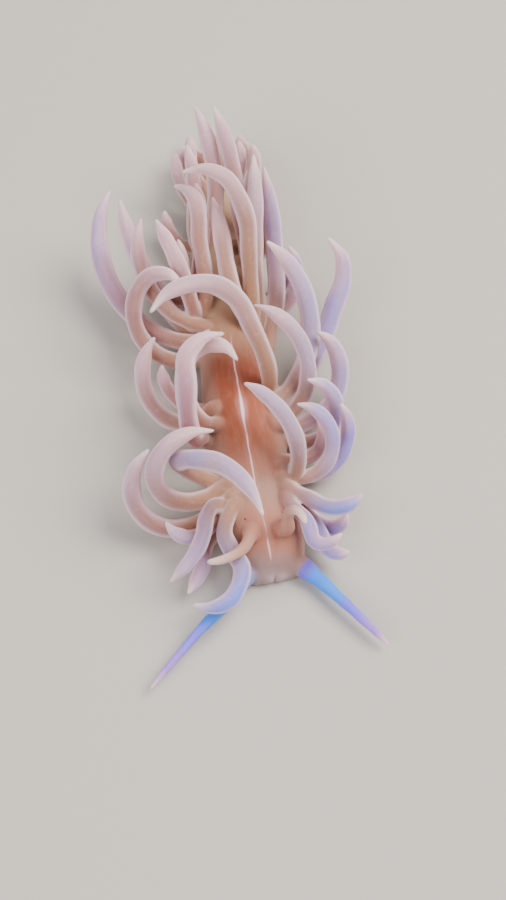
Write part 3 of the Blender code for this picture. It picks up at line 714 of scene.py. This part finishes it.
def skin_mesh(tubes):
    """The whole slug as one smooth closed surface, in millimetres."""
    draw = np.random.default_rng(LOOK_SEED)
    stations = np.linspace(0, BODY_LENGTH, round(BODY_LENGTH / BODY_STEP))
    shapes = [closed_loft(np.array([body_ring(station) for station in stations]))]
    shapes += head_lumps()
    shapes += [tube_shape(line, radii, draw) for _, _, line, radii in tubes]
    points, faces, start = [], [], 0
    for shape_points, shape_faces in shapes:
        points.append(shape_points)
        faces += [tuple(start + i for i in face) for face in shape_faces]
        start += len(shape_points)
    mesh = bpy.data.meshes.new("slug_skin")
    mesh.from_pydata(np.vstack(points).tolist(), [], faces)
    skin = bpy.data.objects.new("slug_skin", mesh)
    bpy.context.scene.collection.objects.link(skin)
    remesh = skin.modifiers.new("remesh", "REMESH")
    remesh.mode = "VOXEL"
    remesh.voxel_size = VOXEL
    smooth = skin.modifiers.new("smooth", "SMOOTH")
    smooth.iterations = SMOOTH_ROUNDS
    smooth.factor = SMOOTH_FACTOR
    bpy.context.view_layer.update()
    fine = bpy.data.meshes.new_from_object(skin.evaluated_get(bpy.context.evaluated_depsgraph_get()))
    skin.modifiers.clear()
    skin.data = fine
    bpy.data.meshes.remove(mesh)
    return skin


def outward_bend(ahead):
    """The way each place of a centreline bulges, fading to nothing where it runs straight."""
    bend = -np.gradient(ahead, axis=0)
    kernel = np.hanning(BEND_SPREAD + 2)[1:-1]
    padded = np.pad(bend, ((BEND_SPREAD // 2, BEND_SPREAD // 2), (0, 0)), mode="edge")
    bend = np.stack([np.convolve(padded[:, c], kernel / kernel.sum(), "valid") for c in range(3)], 1)
    size = np.linalg.norm(bend, axis=1)
    return bend / np.maximum(size, size.mean())[:, None]


def nearest_on_tubes(points, tubes):
    """For each point: its tube, share along it, distance off it, place around it, bulge, and how far to the
    side it lies as seen for the painted rim glow.
    """
    samples = []
    for index, (_, _, line, radii) in enumerate(tubes):
        length = line_length(line)
        fine, girth = upsampled(line, radii, length / SAMPLE_STEPS)
        ahead, side, other = side_frames(fine)
        outer = outward_bend(ahead)
        # Sideways as seen from above and in front, where the pale rims of painted glow go
        rim = np.cross(ahead, RIM_GLOW_VIEW)
        rim /= np.maximum(np.linalg.norm(rim, axis=1), LEAST_TURN)[:, None]
        share = np.linspace(0, 1, len(fine))
        for i in range(len(fine)):
            places = fine[i], side[i], other[i], outer[i], rim[i], ahead[i] / length
            samples.append((index, share[i], girth[i], *places))
    tree = kdtree.KDTree(len(samples))
    for i, sample in enumerate(samples):
        tree.insert(sample[3], i)
    tree.balance()
    found = np.zeros((len(points), 7))
    for i, point in enumerate(points):
        near = tree.find_n(point, NEAR_SAMPLES)
        distance, best = min((distance - samples[k][2], k) for _, k, distance in near)
        index, share, _, centre, side, other, outer, rim, further = samples[best]
        spoke = point - centre
        share = min(max(share + spoke @ further, 0), 1)
        spoke /= np.linalg.norm(spoke) + TINY
        found[i] = (index, share, distance, spoke @ side, spoke @ other, spoke @ outer, spoke @ rim)
    return found


def smooth_share(value, low, high):
    """Eases from 0 at low to 1 at high."""
    t = np.clip((value - low) / (high - low), 0, 1)
    return t * t * (3 - 2 * t)


def body_distance(points):
    """How far each point stands off the body's surface, its station and how far it is across."""
    station = np.clip(points[:, 1] + BODY_LENGTH / 2, 0, BODY_LENGTH)
    half_width, height = through_table(BODY_OUTLINE, station).T
    waist = WIDEST_HEIGHT * height
    across = points[:, 0] - midline_x(station)
    above = np.maximum(points[:, 2] - waist, 0)
    size = np.hypot(across / half_width, above / (height - waist))
    return np.hypot(across, above) * (1 - 1 / np.maximum(size, DEEPEST_SHARE)), station, across


def add_attribute(mesh, name, values):
    """Stores one value or one vector a vertex."""
    if values.ndim == 1:
        attribute = mesh.attributes.new(name, "FLOAT", "POINT")
        attribute.data.foreach_set("value", values.astype(np.float32))
    else:
        attribute = mesh.attributes.new(name, "FLOAT_VECTOR", "POINT")
        attribute.data.foreach_set("vector", values.astype(np.float32).ravel())


def press_mouth(points):
    """Presses the mouth's groove into the front of the head."""
    floor, back, left = body_axes(LIP_STATION)
    away = points - floor
    across = (away @ left) / MOUTH_SIZE[0]
    up = (points[:, 2] - LIP_HEIGHT) / MOUTH_SIZE[2]
    front = away @ back < MOUTH_SIZE[1]
    depth = MOUTH_DEPTH * np.exp(-across**2 - up**2) * front
    return points + back * depth[:, None]


def mark_skin(skin, tubes):
    """Gives the skin the places that its colours follow, and turns it to metres."""
    mesh = skin.data
    points = np.zeros(len(mesh.vertices) * 3)
    mesh.vertices.foreach_get("co", points)
    points = points.reshape(-1, 3)
    found = nearest_on_tubes(points, tubes)
    index = found[:, 0].astype(int)
    share = found[:, 1]
    outer = found[:, 5]
    off_body, station, across = body_distance(points)
    names = np.array([tube[0] for tube in tubes])[index]
    feeler = np.char.startswith(names, "oral")
    rhinophore = np.char.startswith(names, "rhino")
    close = smooth_share(-found[:, 2], -OFF_TUBE, -ON_TUBE)
    on_tube = smooth_share(off_body, BLEND_START, BLEND_START + BLEND_WIDTH) * close
    varied = np.random.default_rng(LOOK_SEED).uniform(0, 1, (len(tubes), 4))
    strengths = [strength for cluster in CLUSTER_LOOKS.values() for strength in cluster[4]]
    opal = np.array(strengths + [0] * (len(tubes) - len(strengths)))
    looks = np.array([CLUSTER_LOOKS.get(tube[0], (0, 0, 0, 0))[:4] for tube in tubes])
    pink, duct, blue, middle = looks[index].T
    middle = middle + OPAL_WANDER * (varied[index, 1] - 0.5)
    zone = np.exp(-((share - middle) / OPAL_REACH) ** 2)
    zone *= 1 - (1 - OPAL_AT_TIP) * smooth_share(share, TIP_START, 1)
    lengths = np.array([line_length(tube[2]) for tube in tubes])
    add_attribute(mesh, "on_ceras", on_tube * ~(feeler | rhinophore))
    add_attribute(mesh, "on_feeler", smooth_share(off_body, 0, FEELER_BLEND) * close**3 * feeler)
    add_attribute(mesh, "on_rhinophore", on_tube * rhinophore)
    add_attribute(mesh, "along", share)
    # How far to the side each point lies as seen from above and in front, for the painted rim glow and the
    # duct's core
    add_attribute(mesh, "rim", np.abs(found[:, 6]))
    add_attribute(mesh, "opal", np.clip(opal[index] * zone * (OPAL_ALL_ROUND + OPAL_ON_BULGE * outer), 0, 1))
    blue = blue + HUE_VARIETY * (varied[index, 3] - 0.5) + BLUE_ON_BULGE * outer
    add_attribute(mesh, "blue", np.clip(blue, 0, 1))
    add_attribute(mesh, "pink", np.clip(pink + HUE_VARIETY * (varied[index, 2] - 0.5), 0, 1))
    add_attribute(mesh, "past_duct", share - duct - DUCT_VARIETY * (varied[index, 0] - 0.5))
    add_attribute(mesh, "station", station)
    add_attribute(mesh, "across", across)
    further = share * lengths[index] * STREAK_STRETCH + index * STREAK_APART
    streak = np.column_stack([found[:, 3], found[:, 4], further])
    add_attribute(mesh, "streak", streak)
    mesh.vertices.foreach_set("co", (press_mouth(points) * MM).ravel())
    mesh.update()
    mesh.shade_smooth()


class Nodes:
    """Short ways to add shader nodes."""

    def __init__(self, material):
        material.use_nodes = True
        self.tree = material.node_tree
        self.shader = self.tree.nodes["Principled BSDF"]

    def node(self, kind, **settings):
        node = self.tree.nodes.new(kind)
        for name, value in settings.items():
            setattr(node, name, value)
        return node

    def wire(self, source, target):
        self.tree.links.new(source, target)

    def attribute(self, name, output="Fac"):
        return self.node("ShaderNodeAttribute", attribute_name=name).outputs[output]

    def number(self, operation, *values, clamp=False):
        node = self.node("ShaderNodeMath", operation=operation, use_clamp=clamp)
        for socket, value in zip(node.inputs, values):
            if isinstance(value, (int, float)):
                socket.default_value = value
            else:
                self.wire(value, socket)
        return node.outputs[0]

    def times(self, *values):
        result = values[0]
        for value in values[1:]:
            result = self.number("MULTIPLY", result, value)
        return result

    def less(self, value):
        return self.number("SUBTRACT", 1.0, value)

    def ramp(self, value, stops):
        node = self.node("ShaderNodeValToRGB")
        node.color_ramp.interpolation = "EASE"
        marks = node.color_ramp.elements
        while len(marks) < len(stops):
            marks.new(1.0)
        for mark, (place, colour) in zip(marks, stops):
            mark.position = place
            mark.color = (*colour, 1)
        self.wire(value, node.inputs[0])
        return node.outputs[0]

    def mix(self, share, first, second):
        node = self.node("ShaderNodeMix", data_type="RGBA")
        node.clamp_factor = True
        for socket, value in ((node.inputs[0], share), (node.inputs[6], first), (node.inputs[7], second)):
            if isinstance(value, tuple):
                socket.default_value = (*value, 1)
            elif isinstance(value, (int, float)):
                socket.default_value = value
            else:
                self.wire(value, socket)
        return node.outputs[2]

    def noise(self, scale, detail=3.0, vector=None):
        node = self.node("ShaderNodeTexNoise")
        node.inputs["Scale"].default_value = scale
        node.inputs["Detail"].default_value = detail
        if vector is None:
            vector = self.node("ShaderNodeTexCoord").outputs["Object"]
        self.wire(vector, node.inputs["Vector"])
        return node.outputs["Fac"]

    def between(self, value, low, high):
        node = self.node("ShaderNodeMapRange", interpolation_type="SMOOTHSTEP")
        self.wire(value, node.inputs["Value"])
        node.inputs["From Min"].default_value = low
        node.inputs["From Max"].default_value = high
        return node.outputs["Result"]


def ceras_colour(n, broad):
    """A pale veil over a tan or reddish duct, lilac and blue on the bends, cream tip, and pale rims painted
    as light glowing through the thin edges.
    """
    along = n.attribute("along")
    rim = n.attribute("rim")
    pinkness = n.attribute("pink")
    place = n.attribute("streak", "Vector")
    streaks = n.noise(*STREAKS, place)
    wander = n.number("MULTIPLY_ADD", n.number("SUBTRACT", streaks, 0.5), STREAK_WANDER, along)
    colour = n.mix(pinkness, n.ramp(wander, BEIGE_CERAS), n.ramp(wander, PINK_CERAS))
    patches = n.between(n.noise(*PEARL_PATCHES), *PEARL_NOISE)
    pearly = n.times(patches, n.between(along, *PEARL_ALONG), PEARL_SHARE)
    colour = n.mix(pearly, colour, n.mix(pinkness, *PEARL))
    # The duct and fibres show in the middle, between the painted rim glows at the sides
    core = n.less(n.between(rim, *CORE_EDGE))
    fibres = n.between(n.noise(*FIBRES, place), *FIBRE_NOISE)
    colour = n.mix(n.times(fibres, core, FIBRE_SHARE), colour, FIBRE)
    shown = n.less(n.between(n.attribute("past_duct"), 0.0, DUCT_FADE))
    duct = n.times(core, shown, n.number("MULTIPLY_ADD", streaks, *DUCT_UNEVEN), DUCT_SHARE)
    colour = n.mix(duct, colour, n.mix(pinkness, *DUCT))
    uneven = n.number("MULTIPLY_ADD", broad, *OPAL_UNEVEN)
    opal = n.number("MULTIPLY", n.attribute("opal"), uneven, clamp=True)
    lilac_blue = n.mix(n.attribute("blue"), *LILAC_TO_BLUE)
    colour = n.mix(n.times(opal, OPAL_SHARE), colour, lilac_blue)
    # Painted light: pale rims at the sides, as seen from above and in front, stand in for light glowing
    # through the thin edges
    rim_glow = n.times(n.between(rim, *RIM_GLOW_EDGE), n.between(along, *RIM_GLOW_ALONG), RIM_GLOW_SHARE)
    return n.mix(rim_glow, colour, PAINTED_RIM_GLOW), streaks


def back_line(n, colour, station, across):
    """The thin white line down the back, with slight breaks, and a pink glow where it is brightest."""
    side = n.number("SUBTRACT", across, LINE_OFFSET)
    sway = n.number("SUBTRACT", n.noise(*LINE_SWAY), 0.5)
    off_middle = n.number("MULTIPLY_ADD", sway, LINE_SWING, side)
    from_bright = n.number("ABSOLUTE", n.number("SUBTRACT", station, LINE_BRIGHT_STATION))
    bright = n.less(n.between(from_bright, LINE_BRIGHT_CORE, LINE_BRIGHT_REACH))
    ragged = n.number("MULTIPLY", n.noise(*LINE_EDGE), LINE_RAGGED_WIDTH)
    width = n.number("MULTIPLY_ADD", bright, LINE_BRIGHT_WIDTH, ragged)
    off_line = n.number("SUBTRACT", n.number("ABSOLUTE", off_middle), width)
    glow = n.less(n.between(off_line, 0.0, GLOW_REACH))
    on_line = n.less(n.between(off_line, 0.0, LINE_SOFTNESS))
    unbroken = n.number("MAXIMUM", bright, n.between(n.noise(*LINE_BREAKS), *BREAK_NOISE))
    ends = n.times(n.between(station, *LINE_START), n.less(n.between(station, *LINE_END)))
    glow = n.times(glow, n.number("MULTIPLY_ADD", bright, *GLOW_SHARE), ends)
    colour = n.mix(glow, colour, LINE_GLOW)
    line = n.mix(bright, DULL_LINE, BRIGHT_LINE)
    return n.mix(n.times(on_line, unbroken, ends, LINE_SHARE), colour, line)


def body_colour(n, broad):
    """Orange over the heart and down the back, beige flanks and a greyer head."""
    station = n.attribute("station")
    across = n.attribute("across")
    back = n.ramp(n.number("DIVIDE", station, BODY_LENGTH), BACK)
    down_side = n.between(n.number("ABSOLUTE", across), FLANK_START, FLANK_END)
    colour = n.mix(n.times(down_side, FLANK_SHARE), back, FLANK)
    place = n.node("ShaderNodeCombineXYZ")
    n.wire(n.times(across, STRAND_SCALE[0]), place.inputs[0])
    n.wire(n.times(station, STRAND_SCALE[1]), place.inputs[1])
    strands = n.between(n.noise(*STRANDS, place.outputs[0]), *STRAND_NOISE)
    colour = n.mix(n.times(strands, STRAND_SHARE), colour, STRAND)
    mottle = n.between(broad, *MOTTLE_NOISE)
    colour = n.mix(n.times(mottle, MOTTLE_SHARE), colour, DARK_MOTTLE)
    return back_line(n, colour, station, across)


def tentacle_colour(n, along):
    """Sky blue with a lilac tip, violet at the left tentacle's root and paler at the right one's."""
    on_right = n.less(n.between(n.attribute("across"), *RIGHT_SIDE))
    right_root = n.times(on_right, n.less(n.between(along, *RIGHT_ROOT_ALONG)))
    return n.mix(n.times(right_root, RIGHT_ROOT_SHARE), n.ramp(along, TENTACLE), RIGHT_TENTACLE_ROOT)


def skin_material():
    """Translucent flesh: body, cerata, sky-blue tentacles and cream rhinophores in one skin."""
    material = bpy.data.materials.new("slug_flesh")
    n = Nodes(material)
    fine = n.noise(*GRAIN)
    broad = n.noise(*MOTTLE)
    along = n.attribute("along")
    on_ceras = n.attribute("on_ceras")
    ceras, streaks = ceras_colour(n, broad)
    colour = n.mix(on_ceras, body_colour(n, broad), ceras)
    colour = n.mix(n.attribute("on_feeler"), colour, tentacle_colour(n, along))
    colour = n.mix(n.attribute("on_rhinophore"), colour, n.ramp(along, RHINOPHORE_COLOURS))
    speckles = n.times(n.between(fine, *SPECKLE_NOISE), on_ceras, SPECKLE_SHARE)
    n.wire(n.mix(speckles, colour, SPECKLE), n.shader.inputs["Base Color"])
    n.wire(n.number("MULTIPLY_ADD", fine, *ROUGHNESS), n.shader.inputs["Roughness"])
    bump = n.node("ShaderNodeBump")
    bump.inputs["Strength"].default_value = BUMP_STRENGTH
    bump.inputs["Distance"].default_value = BUMP_DISTANCE
    ripples = n.times(streaks, on_ceras, STREAK_RELIEF)
    n.wire(n.number("ADD", ripples, n.noise(*RIPPLES)), bump.inputs["Height"])
    n.wire(bump.outputs["Normal"], n.shader.inputs["Normal"])
    settings = {
        "Subsurface Weight": 0.8, "Subsurface Radius": (1.0, 0.62, 0.6), "Subsurface Scale": 0.0007,
        "Sheen Weight": 0.08, "Sheen Roughness": 0.3, "Sheen Tint": (0.96, 0.88, 1.0, 1),
        "Coat Weight": 0.03, "Coat Roughness": 0.3, "IOR": 1.34, "Specular IOR Level": 0.3,
    }
    for name, value in settings.items():
        n.shader.inputs[name].default_value = value
    return material


def make_eyes():
    """Two small dark eye spots, sunk in the skin behind the rhinophores."""
    material = bpy.data.materials.new("eye_spot")
    n = Nodes(material)
    n.wire(n.mix(n.noise(*EYE_GRAIN), EYE_DARK, EYE_BROWN), n.shader.inputs["Base Color"])
    n.shader.inputs["Roughness"].default_value = EYE_ROUGHNESS
    points, faces = [], []
    for side in (-1, 1):
        place, normal = body_surface(RHINOPHORE[0] + EYE_BEHIND, side, EYE_ANGLE)
        shape_points, shape_faces = ellipsoid_shape(place - normal * EYE_SINK, (EYE_RADIUS,) * 3)
        faces += [tuple(len(points) + i for i in face) for face in shape_faces]
        points += list(shape_points)
    mesh = bpy.data.meshes.new("eyes")
    mesh.from_pydata((np.array(points) * MM).tolist(), [], faces)
    mesh.materials.append(material)
    mesh.shade_smooth()
    eyes = bpy.data.objects.new("eyes", mesh)
    bpy.context.scene.collection.objects.link(eyes)
    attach(eyes, "root")


def make_floor():
    """A plain pale floor."""
    bpy.ops.mesh.primitive_plane_add(size=FLOOR_SIZE, location=(0, 0, -FLOOR_DROP))
    floor = bpy.context.object
    floor.name = "floor"
    material = bpy.data.materials.new("floor_paint")
    n = Nodes(material)
    n.shader.inputs["Base Color"].default_value = FLOOR_COLOUR
    n.shader.inputs["Roughness"].default_value = FLOOR_ROUGHNESS
    floor.data.materials.append(material)


def area_light(name, place, power, size, colour):
    """A soft square light aimed at the slug."""
    data = bpy.data.lights.new(name, "AREA")
    data.energy = power
    data.size = size
    data.color = colour
    light = bpy.data.objects.new(name, data)
    light.location = place
    light.rotation_euler = (-Vector(place)).to_track_quat("-Z", "Y").to_euler()
    bpy.context.scene.collection.objects.link(light)


def make_lights():
    """Plain soft studio light, the main one from the slug's left and behind."""
    area_light("key", *KEY_LIGHT)
    area_light("fill", *FILL_LIGHT)
    world = bpy.data.worlds.new("studio")
    world.use_nodes = True
    background = world.node_tree.nodes["Background"]
    background.inputs["Color"].default_value = AMBIENT_COLOUR
    background.inputs["Strength"].default_value = AMBIENT_STRENGTH
    bpy.context.scene.world = world


def make_camera():
    """The photograph's viewing angle."""
    data = bpy.data.cameras.new("camera")
    data.lens = CAMERA_LENS
    data.clip_start = CLIP_START
    camera = bpy.data.objects.new("camera", data)
    way = Vector((0, math.cos(CAMERA_ELEVATION), -math.sin(CAMERA_ELEVATION)))
    camera.location = Vector(CAMERA_TARGET) - way * CAMERA_DISTANCE
    camera.rotation_euler = way.to_track_quat("-Z", "Y").to_euler()
    bpy.context.scene.collection.objects.link(camera)
    bpy.context.scene.camera = camera


def build():
    """Skin, floor, lights and camera."""
    make_camera()
    make_lights()
    make_floor()
    tubes = ease_apart(ceras_lines(), feeler_lines()) + sunk_feelers()
    skin = skin_mesh(tubes)
    mark_skin(skin, tubes)
    skin.data.materials.append(skin_material())
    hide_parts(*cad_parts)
    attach(skin, "root")
    make_eyes()
    print("skin faces", len(skin.data.polygons))


build()
